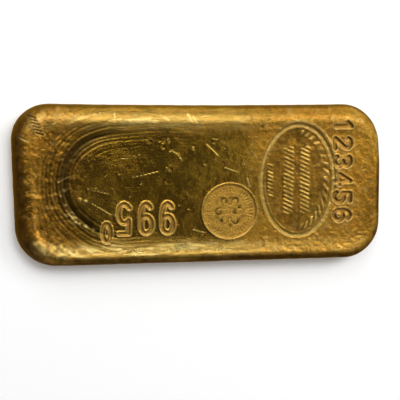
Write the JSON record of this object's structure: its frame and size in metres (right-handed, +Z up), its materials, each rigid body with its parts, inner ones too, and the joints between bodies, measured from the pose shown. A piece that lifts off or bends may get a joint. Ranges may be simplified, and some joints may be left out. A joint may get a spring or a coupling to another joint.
{
  "type": "metal ingot",
  "caption": "Hand-poured gold bar: a shallow slab with wide round corners, drafted sides, a rolled rim and a sunken poured face with struck stamps. It rests flat on its mould face.",
  "frame": {"origin": "middle of the resting face, on the floor", "axes": "+X along the bar towards the oval stamp, +Y across it, +Z up out of the poured face"},
  "size_m": [0.118, 0.05, 0.0098],
  "materials": {
    "gold": "gloss"
  },
  "bodies": {
    "root": {"ingot": "gold"}
  },
  "joints": []
}
